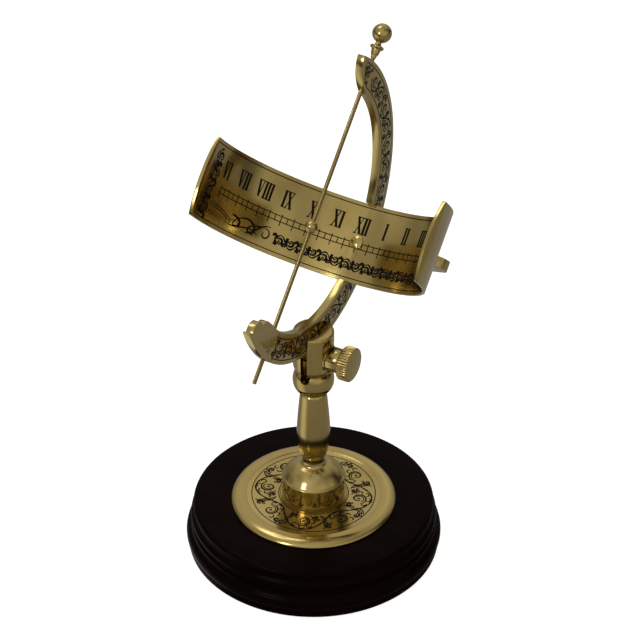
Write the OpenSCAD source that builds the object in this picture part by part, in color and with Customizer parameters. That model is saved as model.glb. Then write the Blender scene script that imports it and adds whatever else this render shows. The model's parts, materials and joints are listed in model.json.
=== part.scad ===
// Equatorial desk sundial: turned wooden base, brass column with a slotted
// yoke, and a swinging dial made of a meridian bow, a cross arm, an hour band
// and a gnomon rod. Z is up, the origin is at the centre of the felt's
// underside, and the meridian plane is X = 0 with XII on the +Y side.

/* [Base] */
// Largest radius of the wooden base, at its lowest moulding
base_r = 75; // [60:1:100]
// Height from the table to the top face of the wood
base_h = 31.2; // [24:0.1:45]
// Radius of the wooden base's top edge
base_top_r = 70.6; // [50:0.2:95]
// Thickness of the felt pad
felt_t = 2; // [1:0.2:4]
// Radius of the brass base plate
plate_r = 48.4; // [35:0.1:60]
// Thickness of the base plate's flat field
plate_t = 3.3; // [1:0.1:4]
// Radius of the base plate's engraved field
field_r = 35.4; // [28:0.2:50]

/* [Column] */
// Radius of the drum foot
foot_r = 18.4; // [12:0.1:28]
// Height of the drum's straight side
foot_side_h = 14.4; // [8:0.5:24]
// Height of the foot's dome above the drum
foot_dome_h = 12.2; // [4:0.2:16]
// Height from the table to the joint under the yoke
column_top = 109.4; // [90:0.1:130]
// Largest radius of the stem's swell
stem_r = 9.8; // [7:0.1:12]
// Radius of the tie stud
stud_r = 4; // [3:0.25:6]

/* [Yoke and clamp] */
// Radius of the yoke's head
head_r = 11.9; // [9:0.1:15]
// Largest radius of the round bead under the head
cup_r = 12; // [10:0.1:16]
// Height from the table to the clamp screw's axis
clamp_z = 135.7; // [125:0.1:150]
// Radius of the clamp screw's shank
shank_r = 6; // [3.5:0.25:6]
// Radius of the fluted knob
knob_r = 10.1; // [7:0.1:13]
// Length of the fluted knob
knob_len = 7.2; // [5:0.1:15]
// Number of flutes round the knob
knob_flutes = 36; // [16:1:48]
// Side play of the bow in the slot, each side
slot_play = 0.05; // [0.01:0.01:0.1]

/* [Dial] */
// Angle of the gnomon above the horizontal as stored, in degrees
latitude = 43.4; // [30:0.1:60]
// How far the dial's centre lies in front of the column's axis, towards XII
dial_y = 5.3; // [0:0.1:8]
// Thickness of the meridian bow
bow_t = 4.2; // [3:0.1:6]
// Inner radius of the meridian bow
bow_in_r = 70.6; // [60:0.2:80]
// Radial width of the meridian bow
bow_w = 18.2; // [12:0.2:24]
// Inner radius of the hour band
band_in_r = 69.6; // [58:0.2:78]
// Thickness of the hour band
band_t = 1.8; // [1:0.1:3]
// Height of the hour band along the gnomon
band_h = 47; // [30:0.2:60]
// Half of the angle that the hour band spans at its corners
band_half_angle = 93; // [80:1:110]
// How far each end of the band bulges past its corners
band_bulge = 5; // [0:0.5:10]
// Thickness of the equatorial cross arm
arm_t = 6; // [3:0.1:8]
// Radial width of the equatorial cross arm
arm_w = 17; // [8:0.2:18]
// Half of the angle that the cross arm spans
arm_half_angle = 41; // [30:1:60]

/* [Gnomon] */
// Radius of the gnomon rod
rod_r = 1.2; // [0.8:0.1:2]
// Length of the rod below the bow's outer edge
rod_tail = 14.4; // [5:0.5:20]
// Radius of the nodus bead
nodus_r = 3.7; // [2.5:0.1:6]
// Distance of the bead below the band's middle plane
nodus_drop = 10.2; // [0:0.1:20]
// Radius of the finial's ball
ball_r = 5.6; // [4:0.1:8]

/* [Hidden] */
bore_play = 0.03;
clear_hole = 0.3;
thread_play = 0.02;
end_gap = 0.5;

felt_recess = felt_t - 0.8;
wood_bottom = felt_t - felt_recess;
felt_r = base_r - 6;
well_r = 13;
nut_h = 6.5;
nut_af = 13;
washer_t = 1.6;
washer_r = 9;
washer_top = 14;
nut_top = washer_top - washer_t;
nut_bottom = nut_top - nut_h;
stud_bottom = nut_bottom - 2;

field_z = base_h + plate_t;
rim_z = field_z + 0.35;
foot_side_z = field_z + foot_side_h;
foot_top_z = foot_side_z + foot_dome_h;
stem_foot_r = 5;
foot_neck_r = 6.3;
stem_socket = 1.6;
stem_bottom = foot_top_z - stem_socket;
stem_top_r = 7.85;
stud_top = 82;
stem_lower_bore_top = stud_top + 1;
spigot_r = 4;
spigot_len = 14;
spigot_bottom = column_top - spigot_len;
dowel_r = 1.5;
dowel_ring_r = 30;
dowel_bottom = base_h - 6;
dowel_top = base_h + 2;

band_out_r = band_in_r + band_t;
seat_play = 0.03;
bow_out_r = bow_in_r + bow_w;
shank_play = 0.05;
bow_z = clamp_z + sqrt(pow(bow_out_r + shank_r + shank_play, 2) - pow(dial_y, 2));
tilt = latitude - 90;

slot_w = bow_t + 2 * slot_play;
slot_floor = 120.8;
slot_hole_r = 3.1;
cup_top = 125.4;
head_z = cup_top + 5.4;
head_top = 152;
spot_x = 9.6;
spot_r = 9.6;
collar_t = 1.2;
collar_r = 7.6;
collar_gap = 0.03;
neck_x = spot_x + collar_gap + collar_t + collar_gap;
neck_len = 7.4;
neck_r = 7.2;
groove_len = 0.6;
knob_x = neck_x + neck_len + groove_len;
knob_end = knob_x + knob_len;
shank_start = -10.2;
shank_socket = 6;
shank_end = knob_x + shank_socket;

arm_in_r = band_out_r + seat_play;
arm_out_r = arm_in_r + arm_w;
lap_r = arm_in_r + arm_w / 2;
lap_play = 0.04;
screw_r = 1.3;
screw_head_r = 3.8;
screw_head_t = 1.5;
screw_end_r = bow_out_r - 2.8;

rod_bottom = -bow_out_r - rod_tail;
ferrule_bottom = bow_out_r + 2.2;
ferrule_top = ferrule_bottom + 2.4;
finial_bottom = ferrule_top + 0.3;
lip_a = finial_bottom + 3.9;
ball_a = lip_a + 8.2;
rod_top = ball_a - 1;
pin_a = -bow_out_r + 6.5;
scallops = [[-14.4, bow_w - 6.4, 7.4], [-24, bow_w - 8.4, 6.6], [-32, bow_w - 13, 2.7]];
pin_r = 0.6;
rod_hole_r = rod_r + bore_play;

brass = [0.72, 0.6, 0.32];
brass_dark = [0.6, 0.48, 0.24];
mahogany = [0.12, 0.03, 0.03];
steel = [0.6, 0.6, 0.62];
felt_green = [0.05, 0.16, 0.09];

function arc_pts(cx, cy, r, a0, a1, n) =
    [for (i = [0:n]) let (a = a0 + (a1 - a0) * i / n) [cx + r * cos(a), cy + r * sin(a)]];

function curve_pts(p, q, s, n) =
    [for (i = [0:n]) let (t = i / n) pow(1 - t, 2) * p + 2 * t * (1 - t) * q + pow(t, 2) * s];

// Places its children in the dial's own frame: z along the gnomon, y to XII
module in_dial() {
    translate([0, dial_y, bow_z]) rotate([tilt, 0, 0]) children();
}

module thread_rings(r, z0, z1, pitch, depth) {
    for (z = [z0:pitch:z1]) {
        translate([0, 0, z]) rotate_extrude($fn = 40)
            polygon([[r - depth, 0], [r + 0.3, -pitch * 0.3], [r + 0.3, pitch * 0.3]]);
    }
}

module felt_pad() {
    color(felt_green) cylinder(r = felt_r, h = felt_t, $fn = 96);
}

module wooden_base() {
    top_fillet = 2.6;
    bead_z = base_h - 9.6;
    bead_r = base_top_r - 1.2;
    step_z = base_h - 14.6;
    foot_z = 9.4;
    profile = concat(
        [[0, wood_bottom], [base_r - 2.4, wood_bottom], [base_r - 1.4, wood_bottom + 1]],
        [[base_r - 1.2, wood_bottom + 2.2]],
        arc_pts(base_r - 5.2, foot_z, 5.2, -50, 62, 8),
        [[base_top_r + 1.2, step_z - 1.1], [base_top_r + 1.2, step_z], [base_top_r, step_z]],
        [[base_top_r - 0.2, step_z + 1.4]],
        arc_pts(bead_r, bead_z, 2.7, -62, 62, 8),
        curve_pts([base_top_r - 0.3, bead_z + 3], [base_top_r - 1.5, bead_z + 4.4],
                  [base_top_r - 0.1, base_h - top_fillet], 5),
        arc_pts(base_top_r - top_fillet, base_h - top_fillet, top_fillet, 12, 90, 6),
        [[0, base_h]]
    );
    color(mahogany) difference() {
        rotate_extrude($fn = 120) polygon(profile);
        translate([0, 0, wood_bottom - 1])
            cylinder(r = felt_r + 0.3, h = felt_recess + 1, $fn = 96);
        cylinder(r = well_r, h = washer_top, $fn = 48);
        cylinder(r = stud_r + clear_hole, h = base_h + 1, $fn = 32);
        dowel_holes(dowel_bottom - end_gap, base_h + 1, bore_play);
    }
}

module dowel_holes(z0, z1, play) {
    for (s = [-1, 1]) {
        translate([s * dowel_ring_r, 0, z0]) cylinder(r = dowel_r + play, h = z1 - z0, $fn = 24);
    }
}

module base_plate() {
    profile = concat(
        [[0, base_h], [plate_r - 0.4, base_h], [plate_r, base_h + 0.4]],
        curve_pts([plate_r, base_h + 0.8], [plate_r - 3.4, rim_z - 0.1], [field_r + 3, rim_z], 8),
        [[field_r + 1.6, rim_z - 0.05], [field_r + 1.1, field_z + 0.06], [field_r + 0.8, field_z]],
        [[0, field_z]]
    );
    color(brass) difference() {
        rotate_extrude($fn = 120) polygon(profile);
        translate([0, 0, base_h - 1]) cylinder(r = stud_r + clear_hole, h = plate_t + 3, $fn = 32);
        dowel_holes(base_h - 1, dowel_top, bore_play);
    }
}

module plate_dowels() {
    color(steel) dowel_holes(dowel_bottom, dowel_top, 0);
}

module column_foot() {
    edge = 0.5;
    profile = concat(
        [[0, field_z], [foot_r - 0.3, field_z], [foot_r, field_z + 0.3]],
        [[foot_r, foot_side_z - edge]],
        [[foot_r - edge * 0.3, foot_side_z - edge * 0.2]],
        curve_pts([foot_r - edge, foot_side_z], [foot_r - 4.4, foot_side_z + 6.4],
                  [foot_neck_r + 1.8, foot_side_z + 8.4], 10),
        curve_pts([foot_neck_r + 1.8, foot_side_z + 8.4], [foot_neck_r + 0.1, foot_side_z + 8.9],
                  [foot_neck_r, foot_top_z], 5),
        [[0, foot_top_z]]
    );
    color(brass) difference() {
        rotate_extrude($fn = 96) polygon(profile);
        translate([0, 0, field_z - 1]) cylinder(r = stud_r + clear_hole, h = 60, $fn = 32);
        translate([0, 0, stem_bottom]) cylinder(r = stem_foot_r + bore_play, h = 10, $fn = 48);
    }
}

module column_stem() {
    swell_z = stem_bottom + 22;
    profile = concat(
        [[0, stem_bottom], [stem_foot_r, stem_bottom], [stem_foot_r, foot_top_z + 0.3]],
        curve_pts([stem_foot_r + 1, foot_top_z + 0.5], [stem_r - 0.3, foot_top_z + 5.4],
                  [stem_r, swell_z], 8),
        curve_pts([stem_r, swell_z], [stem_r - 0.3, swell_z + 9],
                  [stem_top_r, column_top - 2.2], 6),
        [[stem_top_r - 0.3, column_top - 1.1], [stem_top_r - 0.8, column_top - 0.8]],
        [[stem_top_r - 1, column_top], [0, column_top]]
    );
    color(brass) difference() {
        rotate_extrude($fn = 96) polygon(profile);
        translate([0, 0, stem_bottom - 1])
            cylinder(r = stud_r + thread_play, h = stem_lower_bore_top - stem_bottom + 1, $fn = 40);
        translate([0, 0, spigot_bottom - end_gap])
            cylinder(r = spigot_r + thread_play, h = spigot_len + end_gap + 1, $fn = 40);
    }
}

module tie_stud() {
    color(steel) difference() {
        translate([0, 0, stud_bottom]) cylinder(r = stud_r, h = stud_top - stud_bottom, $fn = 40);
        thread_rings(stud_r, stud_bottom + 1, nut_bottom - 0.6, 1.25, 0.6);
        translate([0, 0, stud_bottom - 0.01]) rotate_extrude($fn = 40)
            polygon([[stud_r - 0.7, -0.1], [stud_r + 0.5, -0.1], [stud_r + 0.5, 1.1]]);
    }
}

module stud_washer() {
    color(steel) translate([0, 0, nut_top]) difference() {
        cylinder(r = washer_r, h = washer_t, $fn = 48);
        translate([0, 0, -1]) cylinder(r = stud_r + 0.2, h = washer_t + 2, $fn = 32);
    }
}

module stud_nut() {
    color(steel) translate([0, 0, nut_bottom]) difference() {
        intersection() {
            cylinder(r = nut_af / 2 / cos(30), h = nut_h, $fn = 6);
            rotate_extrude($fn = 48) polygon([
                [0, 0], [nut_af / 2 - 0.2, 0], [nut_af / 2 + 1.2, 1], [nut_af / 2 + 1.2, nut_h - 1],
                [nut_af / 2 - 0.2, nut_h], [0, nut_h]
            ]);
        }
        translate([0, 0, -1]) cylinder(r = stud_r + thread_play, h = nut_h + 2, $fn = 32);
    }
}

module yoke() {
    bead_mid = (column_top + 1.2 + cup_top) / 2;
    bead_half = cup_top - bead_mid;
    bead_depth = 3.2;
    profile = concat(
        [[0, column_top], [7.4, column_top], [7.4, column_top + 0.5]],
        [for (a = [-80:16:80]) [cup_r - bead_depth * (1 - cos(a)), bead_mid + bead_half * sin(a)]],
        curve_pts([head_r - 2, cup_top], [head_r, cup_top + 0.8], [head_r, head_z], 6),
        [[head_r, head_top - 0.4], [head_r - 0.4, head_top], [0, head_top]]
    );
    color(brass) difference() {
        union() {
            rotate_extrude($fn = 96) polygon(profile);
            translate([0, 0, spigot_bottom]) cylinder(r = spigot_r, h = spigot_len + 1, $fn = 40);
        }
        translate([-slot_w / 2, -30, slot_floor + slot_hole_r])
            cube([slot_w, 60, head_top]);
        translate([0, 30, slot_floor + slot_hole_r]) rotate([90, 0, 0])
            cylinder(r = slot_hole_r, h = 60, $fn = 40);
        translate([spot_x, 0, clamp_z]) rotate([0, 90, 0]) cylinder(r = spot_r, h = 20, $fn = 64);
        translate([0, 0, clamp_z]) rotate([0, 90, 0])
            cylinder(r = shank_r + shank_play, h = 30, $fn = 48);
        translate([-30, 0, clamp_z]) rotate([0, 90, 0])
            cylinder(r = shank_r + thread_play, h = 31, $fn = 48);
    }
}

module clamp_collar() {
    color(brass_dark) translate([spot_x + collar_gap, 0, clamp_z]) rotate([0, 90, 0]) difference() {
        cylinder(r = collar_r, h = collar_t, $fn = 64);
        translate([0, 0, -1]) cylinder(r = shank_r + shank_play, h = collar_t + 2, $fn = 48);
    }
}

module clamp_shank() {
    color(brass_dark) translate([shank_start, 0, clamp_z]) rotate([0, 90, 0]) difference() {
        cylinder(r = shank_r, h = shank_end - shank_start, $fn = 48);
        translate([0, 0, -0.01]) rotate_extrude($fn = 48)
            polygon([[shank_r - 0.8, -0.1], [shank_r + 0.5, -0.1], [shank_r + 0.5, 1.2]]);
    }
}

module clamp_knob() {
    flute_r = 0.55;
    profile = concat(
        [[0, neck_x], [neck_r - 0.3, neck_x], [neck_r, neck_x + 0.3]],
        [[neck_r, neck_x + neck_len], [neck_r - 0.7, neck_x + neck_len]],
        [[neck_r - 0.7, knob_x], [knob_r - 0.9, knob_x], [knob_r, knob_x + 0.9]],
        [[knob_r, knob_end - 1.3], [knob_r - 1.2, knob_end - 0.2]],
        curve_pts([knob_r - 1.5, knob_end - 0.1], [knob_r / 2, knob_end + 0.5],
                  [0, knob_end + 0.5], 5)
    );
    color(brass) translate([0, 0, clamp_z]) rotate([0, 90, 0]) difference() {
        rotate_extrude($fn = 96) polygon(profile);
        translate([0, 0, neck_x - 1])
            cylinder(r = shank_r + thread_play, h = shank_end + end_gap - neck_x + 1, $fn = 48);
        for (i = [0:knob_flutes - 1]) {
            rotate([0, 0, i * 360 / knob_flutes]) translate([knob_r + 0.12, 0, knob_x - 1])
                cylinder(r = flute_r, h = knob_len + 3, $fn = 12);
        }
    }
}

// The C of the bow: one lobe hides the rod at the top, and three scallops
// finish the plain tongue that runs on past the rod at the bottom
module bow_plate() {
    tip = [-16.6, bow_out_r - 3.4];
    fill = concat(
        arc_pts(0, 0, bow_in_r - 3, -98, 86, 12),
        curve_pts([4, bow_in_r - 0.4], [-13.6, bow_in_r + 4.2], tip, 8),
        [[-17.1, bow_out_r + 1.5]],
        arc_pts(0, 0, bow_out_r + 3, 90, -108, 12),
        [[-33.4, 4.6 - bow_out_r], [-30.8, 7 - bow_out_r], [-24, bow_w - 5 - bow_out_r]],
        [[-13, bow_w - 2 - bow_out_r]]
    );
    rotate([90, 0, 90]) intersection() {
        union() {
            difference() {
                linear_extrude(height = bow_t, center = true, convexity = 6) polygon(fill);
                cylinder(r = bow_in_r, h = 2 * bow_t, center = true, $fn = 160);
            }
            for (lobe = scallops) {
                translate([lobe[0], lobe[1] - bow_out_r, 0])
                    cylinder(r = lobe[2], h = bow_t, center = true, $fn = 48);
            }
        }
        cylinder(r = bow_out_r, h = 2 * bow_t, center = true, $fn = 160);
    }
}

module meridian_bow() {
    color(brass) in_dial() difference() {
        bow_plate();
        translate([0, 0, -bow_out_r - 5])
            cylinder(r = rod_hole_r, h = 2 * bow_out_r + 10, $fn = 32);
        translate([-bow_t, 0, -band_h / 2 - seat_play])
            cube([2 * bow_t, band_out_r + seat_play, band_h + 2 * seat_play]);
        translate([-bow_t, 0, -arm_t / 2 - lap_play])
            cube([2 * bow_t, lap_r + lap_play, arm_t + 2 * lap_play]);
        rotate([-90, 0, 0])
            cylinder(r = screw_r + thread_play, h = screw_end_r + end_gap, $fn = 32);
        translate([0, 0, pin_a]) rotate([0, 90, 0])
            cylinder(r = pin_r + thread_play, h = 2 * bow_t, center = true, $fn = 24);
    }
}

module cross_arm() {
    mid_r = (arm_in_r + arm_out_r) / 2;
    reach = arm_out_r * 1.2;
    color(brass) in_dial() difference() {
        linear_extrude(height = arm_t, center = true, convexity = 6) {
            intersection() {
                polygon(concat([[0, 0]],
                    arc_pts(0, 0, reach, 90 - arm_half_angle, 90 + arm_half_angle, 4)));
                difference() {
                    circle(r = arm_out_r, $fn = 160);
                    circle(r = arm_in_r, $fn = 160);
                }
            }
            for (s = [-1, 1]) {
                rotate(90 + s * arm_half_angle) translate([mid_r, 0])
                    circle(r = arm_w / 2 - 0.02, $fn = 48);
            }
        }
        translate([-bow_t / 2 - lap_play, lap_r - lap_play, -arm_t])
            cube([bow_t + 2 * lap_play, arm_w, 2 * arm_t]);
        rotate([-90, 0, 0]) cylinder(r = screw_r + 0.15, h = bow_out_r, $fn = 32);
    }
}

module hour_band() {
    bulge_angle = band_bulge / band_in_r * 180 / PI;
    end_angle = band_half_angle + bulge_angle;
    end_r = (pow(band_h / 2, 2) + pow(band_bulge, 2)) / (2 * band_bulge);
    color(brass) in_dial() difference() {
        rotate([0, 0, 90 - end_angle]) rotate_extrude(angle = 2 * end_angle, $fn = 180)
            translate([band_in_r, -band_h / 2]) square([band_t, band_h]);
        for (s = [-1, 1]) {
            rotate([0, 0, 90 + s * end_angle]) mirror([0, s < 0 ? 1 : 0, 0]) difference() {
                translate([band_in_r - 5, -band_bulge - 0.6, -band_h])
                    cube([band_t + 10, band_bulge + 4, 2 * band_h]);
                translate([0, -end_r, 0]) rotate([0, 90, 0])
                    cylinder(r = end_r, h = 2 * band_out_r, $fn = 120);
            }
        }
        rotate([-90, 0, 0]) cylinder(r = screw_r + 0.15, h = bow_out_r, $fn = 32);
    }
}

module noon_screw() {
    head_y = band_in_r - pow(screw_head_r, 2) / (2 * band_in_r) - 0.01;
    color(brass_dark) in_dial() rotate([-90, 0, 0]) difference() {
        union() {
            translate([0, 0, head_y - 1])
                cylinder(r = screw_r, h = screw_end_r - head_y + 1, $fn = 32);
            rotate_extrude($fn = 48) polygon(concat(
                [[0, head_y], [screw_head_r - 0.2, head_y], [screw_head_r, head_y - 0.3]],
                curve_pts([screw_head_r - 0.1, head_y - 0.6],
                          [screw_head_r / 2, head_y - screw_head_t],
                          [0, head_y - screw_head_t], 5)
            ));
        }
        rotate([0, 0, 38]) translate([-5, -0.45, head_y - screw_head_t - 1]) cube([10, 0.9, 1.8]);
    }
}

module gnomon_rod() {
    color(brass) in_dial() difference() {
        union() {
            translate([0, 0, rod_bottom + 0.4])
                cylinder(r = rod_r, h = rod_top - rod_bottom - 0.4, $fn = 32);
            translate([0, 0, rod_bottom])
                cylinder(r1 = rod_r - 0.35, r2 = rod_r, h = 0.41, $fn = 32);
        }
        translate([0, 0, pin_a]) rotate([0, 90, 0])
            cylinder(r = pin_r + thread_play, h = 10, center = true, $fn = 24);
    }
}

module rod_pin() {
    color(brass_dark) in_dial() translate([0, 0, pin_a]) rotate([0, 90, 0])
        cylinder(r = pin_r, h = bow_t, center = true, $fn = 24);
}

module nodus_bead() {
    color(brass) in_dial() translate([0, 0, -nodus_drop]) difference() {
        sphere(r = nodus_r, $fn = 64);
        cylinder(r = rod_hole_r, h = 4 * nodus_r, center = true, $fn = 32);
    }
}

module finial_ferrule() {
    profile = concat(
        [[0, ferrule_bottom]],
        curve_pts([rod_r + 0.35, ferrule_bottom], [rod_r + 0.5, ferrule_bottom + 2],
                  [2.25, ferrule_top - 0.5], 5),
        [[2.25, ferrule_top], [0, ferrule_top]]
    );
    color(brass) in_dial() difference() {
        rotate_extrude($fn = 48) polygon(profile);
        translate([0, 0, ferrule_bottom - 1]) cylinder(r = rod_r + thread_play, h = 8, $fn = 32);
    }
}

module finial() {
    profile = concat(
        [[0, ferrule_top], [1.7, ferrule_top], [1.7, finial_bottom], [2.3, finial_bottom]],
        curve_pts([2.35, finial_bottom + 0.3], [2.5, lip_a - 1.4], [3.7, lip_a - 0.5], 5),
        [[4, lip_a], [3.8, lip_a + 0.5], [2.5, lip_a + 0.9], [1.9, lip_a + 1.4]],
        [[1.8, ball_a - 5]],
        [[1.8, ball_a], [0, ball_a]]
    );
    color(brass) in_dial() difference() {
        union() {
            rotate_extrude($fn = 64) polygon(profile);
            translate([0, 0, ball_a]) sphere(r = ball_r, $fn = 64);
        }
        translate([0, 0, ferrule_top - 1])
            cylinder(r = rod_r + thread_play, h = rod_top + end_gap - ferrule_top + 1, $fn = 32);
    }
}

felt_pad();
wooden_base();
base_plate();
plate_dowels();
column_foot();
column_stem();
tie_stud();
stud_washer();
stud_nut();
yoke();
clamp_collar();
clamp_shank();
clamp_knob();
meridian_bow();
cross_arm();
hour_band();
noon_screw();
gnomon_rod();
rod_pin();
nodus_bead();
finial_ferrule();
finial();
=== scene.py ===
"""Equatorial desk sundial: brass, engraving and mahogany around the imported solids."""

import json
import math

import bpy
from mathutils import Matrix, Vector

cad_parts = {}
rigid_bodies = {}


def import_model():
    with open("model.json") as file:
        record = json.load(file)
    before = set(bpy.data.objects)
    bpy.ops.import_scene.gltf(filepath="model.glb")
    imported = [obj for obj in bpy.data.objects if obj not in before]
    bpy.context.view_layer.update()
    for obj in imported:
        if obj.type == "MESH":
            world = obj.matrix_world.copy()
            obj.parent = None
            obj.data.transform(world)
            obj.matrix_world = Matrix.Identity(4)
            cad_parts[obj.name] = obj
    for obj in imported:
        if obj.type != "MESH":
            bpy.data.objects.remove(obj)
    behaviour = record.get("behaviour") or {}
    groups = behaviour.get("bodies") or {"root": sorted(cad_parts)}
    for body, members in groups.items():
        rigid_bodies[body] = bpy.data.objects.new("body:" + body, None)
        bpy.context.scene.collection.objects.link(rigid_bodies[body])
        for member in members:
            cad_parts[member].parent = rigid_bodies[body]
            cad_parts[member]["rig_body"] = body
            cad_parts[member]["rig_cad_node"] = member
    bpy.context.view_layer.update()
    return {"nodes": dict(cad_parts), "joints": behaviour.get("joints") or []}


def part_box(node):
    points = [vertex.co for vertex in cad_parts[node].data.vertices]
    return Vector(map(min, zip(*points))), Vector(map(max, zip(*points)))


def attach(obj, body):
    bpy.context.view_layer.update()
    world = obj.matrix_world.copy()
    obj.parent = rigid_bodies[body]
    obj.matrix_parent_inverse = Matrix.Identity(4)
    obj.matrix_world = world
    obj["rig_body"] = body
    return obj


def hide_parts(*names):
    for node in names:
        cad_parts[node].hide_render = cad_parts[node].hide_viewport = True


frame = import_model()

bl_info = {
    "name": "Equatorial Sundial",
    "version": (1, 0, 0),
    "blender": (4, 5, 0),
    "location": "View3D > Sidebar > Sundial",
    "description": "Builds the finishes and the engraving of a desk sundial",
    "category": "Object",
}

MM = 0.001
TAU = 2 * math.pi
QUARTER = math.radians(90)

joints = {joint["name"]: joint for joint in frame["joints"]}

# Places taken from the frame, in metres
DIAL_CENTRE = Vector(joints["dial_tilt"]["pos_m"])
CLAMP = Vector((0, 0, joints["clamp_turn"]["pos_m"][2]))
PLATE_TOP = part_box("column_foot")[0].z
BOW_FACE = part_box("meridian_bow")[1].x

# The dial's own axes: x across the bow, y towards XII and z along the gnomon
LATITUDE_DEGREES = 43.4
DIAL = Matrix.Translation(DIAL_CENTRE) @ Matrix.Rotation(
    math.radians(LATITUDE_DEGREES - 90), 4, "X")

# Sizes of the solids that the finishes follow, in millimetres, and one angle in radians
BAND_RADIUS = 69.6
BAND_HALF = 23.5
BAND_BULGE = 5.0
BAND_END = math.radians(93)
BOW_INNER = 70.6
BOW_OUTER = 88.8
YOKE_JOINT = 109.4
YOKE_HEAD_R = 11.9
YOKE_BEAD_R = 12.0
YOKE_CREASE = 125.4
YOKE_TOP = 152.0
SLOT_FLOOR = 120.8
SLOT_PLAY = 0.05
RELIEF_R = 3.1
SPOT_FACE = 9.6
SPOT_R = 9.6
CLAMP_BORE_R = 6.04
KNOB_START = 10.86
KNOB_NECK_R = 7.2
KNOB_GRIP_R = 10.1
RIBS = 40

# The camera that matches the photograph, in metres, with its lens in millimetres
CAMERA_PLACE = (0.7113, -1.3394, 1.2411)
CAMERA_AIM = (0.0033, 0.0018, 0.1587)
CAMERA_LENS = 185.625


# Sizes and colours that a user would change


class SundialSizes(bpy.types.PropertyGroup):
    """Sizes of the engraving, in millimetres unless a unit says otherwise."""

    hour_pitch: bpy.props.FloatProperty(
        name="Hour pitch", description="Angle between two hour numerals on the band",
        default=math.radians(12.67), subtype="ANGLE")
    numeral_height: bpy.props.FloatProperty(
        name="Numeral height", description="Height of the hour numerals in millimetres",
        default=9.6, min=4, max=14)
    numeral_line: bpy.props.FloatProperty(
        name="Numeral stem", description="Half the width of a numeral's thick stem in millimetres",
        default=0.70, min=0.2, max=1)
    hairline: bpy.props.FloatProperty(
        name="Hairline", description="Half the width of the thinnest engraved line in millimetres",
        default=0.29, min=0.05, max=0.5)
    border_line: bpy.props.FloatProperty(
        name="Border line", description="Half the width of the border lines in millimetres",
        default=0.28, min=0.05, max=0.5)
    track_height: bpy.props.FloatProperty(
        name="Minute track height", description="Distance between the track's two lines in mm",
        default=3.2, min=1, max=6)
    border_inset: bpy.props.FloatProperty(
        name="Border inset", description="Distance of the band's border from its edge in mm",
        default=2.3, min=1, max=5)


class SundialFinish(bpy.types.PropertyGroup):
    """Colours of the finishes."""

    brass: bpy.props.FloatVectorProperty(
        name="Brass", description="Colour of the lacquered brass", subtype="COLOR",
        default=(0.46, 0.35, 0.125), min=0, max=1)
    tarnish: bpy.props.FloatVectorProperty(
        name="Tarnish", description="Warmer colour that the brass takes in patches",
        subtype="COLOR", default=(0.34, 0.21, 0.050), min=0, max=1)
    inlay: bpy.props.FloatVectorProperty(
        name="Inlay", description="Colour of the black that fills the engraving",
        subtype="COLOR", default=(0.006, 0.004, 0.004), min=0, max=1)
    mahogany: bpy.props.FloatVectorProperty(
        name="Mahogany", description="Darkest colour of the varnished wood", subtype="COLOR",
        default=(0.0030, 0.0008, 0.0010), min=0, max=1)
    mahogany_light: bpy.props.FloatVectorProperty(
        name="Mahogany light", description="Lightest streak of the varnished wood",
        subtype="COLOR", default=(0.0090, 0.0022, 0.0022), min=0, max=1)
    felt: bpy.props.FloatVectorProperty(
        name="Felt", description="Colour of the pad under the base", subtype="COLOR",
        default=(0.010, 0.045, 0.022), min=0, max=1)


# Shader building


class Value:
    """A socket that takes part in arithmetic and adds the Math nodes it needs."""

    def __init__(self, shader, socket):
        self.shader = shader
        self.socket = socket

    def math(self, operation, other):
        node = self.shader.node("ShaderNodeMath", {"operation": operation}, {0: self, 1: other})
        return Value(self.shader, node.outputs[0])

    def __add__(self, other):
        return self.math("ADD", other)

    __radd__ = __add__

    def __mul__(self, other):
        return self.math("MULTIPLY", other)

    __rmul__ = __mul__

    def __sub__(self, other):
        return self.math("SUBTRACT", other)

    def __rsub__(self, other):
        return (self * -1) + other

    def clamp(self):
        return self.math("MAXIMUM", 0).math("MINIMUM", 1)


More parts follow.
